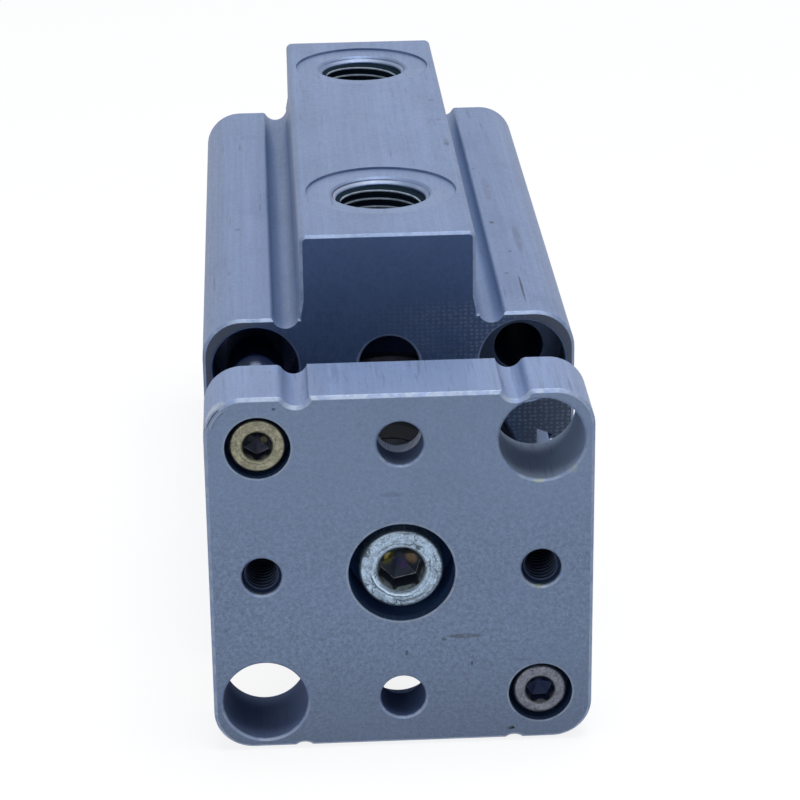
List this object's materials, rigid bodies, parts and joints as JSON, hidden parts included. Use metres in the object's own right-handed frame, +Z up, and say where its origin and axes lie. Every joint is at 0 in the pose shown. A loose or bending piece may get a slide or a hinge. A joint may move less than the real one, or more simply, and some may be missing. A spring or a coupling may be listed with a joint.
{
  "type": "short-stroke cylinder",
  "caption": "Compact short-stroke air cylinder: square aluminium barrel with a raised rib for the threaded supply ports, and a square front plate on the piston rod, guided by rods beside it.",
  "frame": {"origin": "where the cylinder's axis meets the barrel's rear face, the face that is bolted down", "axes": "+Y points out of the rear face along the cylinder's axis, so the plate extends along -Y; +Z points up through the rib and its ports; +X is to the right seen from the front plate"},
  "size_m": [0.039, 0.096, 0.048],
  "materials": {
    "body_aluminium": "clear-anodised extrusion, fine lines along its length",
    "plate_aluminium": "clear-anodised, fine matt grain, bright broken edges",
    "cap_aluminium": "turned",
    "ring_steel": "phosphated spring steel",
    "rod_steel": "ground and hard-chromed",
    "guide_steel": "ground stainless steel",
    "bush_bronze": "oil-filled sintered bronze",
    "seal_rubber": "black nitrile rubber",
    "wiper_rubber": "dark polyurethane",
    "bumper_rubber": "soft black rubber",
    "magnet_plastic": "plastic-bonded ferrite",
    "band_plastic": "filled PTFE",
    "zinc_steel": "bright zinc",
    "yellow_zinc_steel": "yellow-passivated zinc",
    "grey_zinc_steel": "dull zinc"
  },
  "bodies": {
    "cylinder": {"barrel": "body_aluminium", "front_cap": "cap_aluminium", "rear_cap": "cap_aluminium", "front_cap_oring": "seal_rubber", "rear_cap_oring": "seal_rubber", "front_retaining_ring": "ring_steel", "rear_retaining_ring": "ring_steel", "rod_bush": "bush_bronze", "rod_wiper": "wiper_rubber", "front_bumper": "bumper_rubber", "rear_bumper": "bumper_rubber", "upper_front_guide_bush": "bush_bronze", "upper_inner_guide_bush": "bush_bronze", "lower_front_guide_bush": "bush_bronze", "lower_inner_guide_bush": "bush_bronze"},
    "carriage": {"front_plate": "plate_aluminium", "plate_screw": "zinc_steel", "upper_guide_screw": "yellow_zinc_steel", "lower_guide_screw": "grey_zinc_steel", "upper_guide_rod": "guide_steel", "lower_guide_rod": "guide_steel", "piston_rod": "rod_steel", "piston_front_half": "cap_aluminium", "piston_rear_half": "cap_aluminium", "piston_front_seal": "seal_rubber", "piston_rear_seal": "seal_rubber", "piston_magnet": "magnet_plastic", "piston_wear_band": "band_plastic", "piston_screw": "zinc_steel"}
  },
  "joints": [
    {"name": "stroke_slide", "type": "slide", "parent": "cylinder", "child": "carriage", "axis": [0, -1, 0], "range_m": [-0.008, 0.022]}
  ]
}
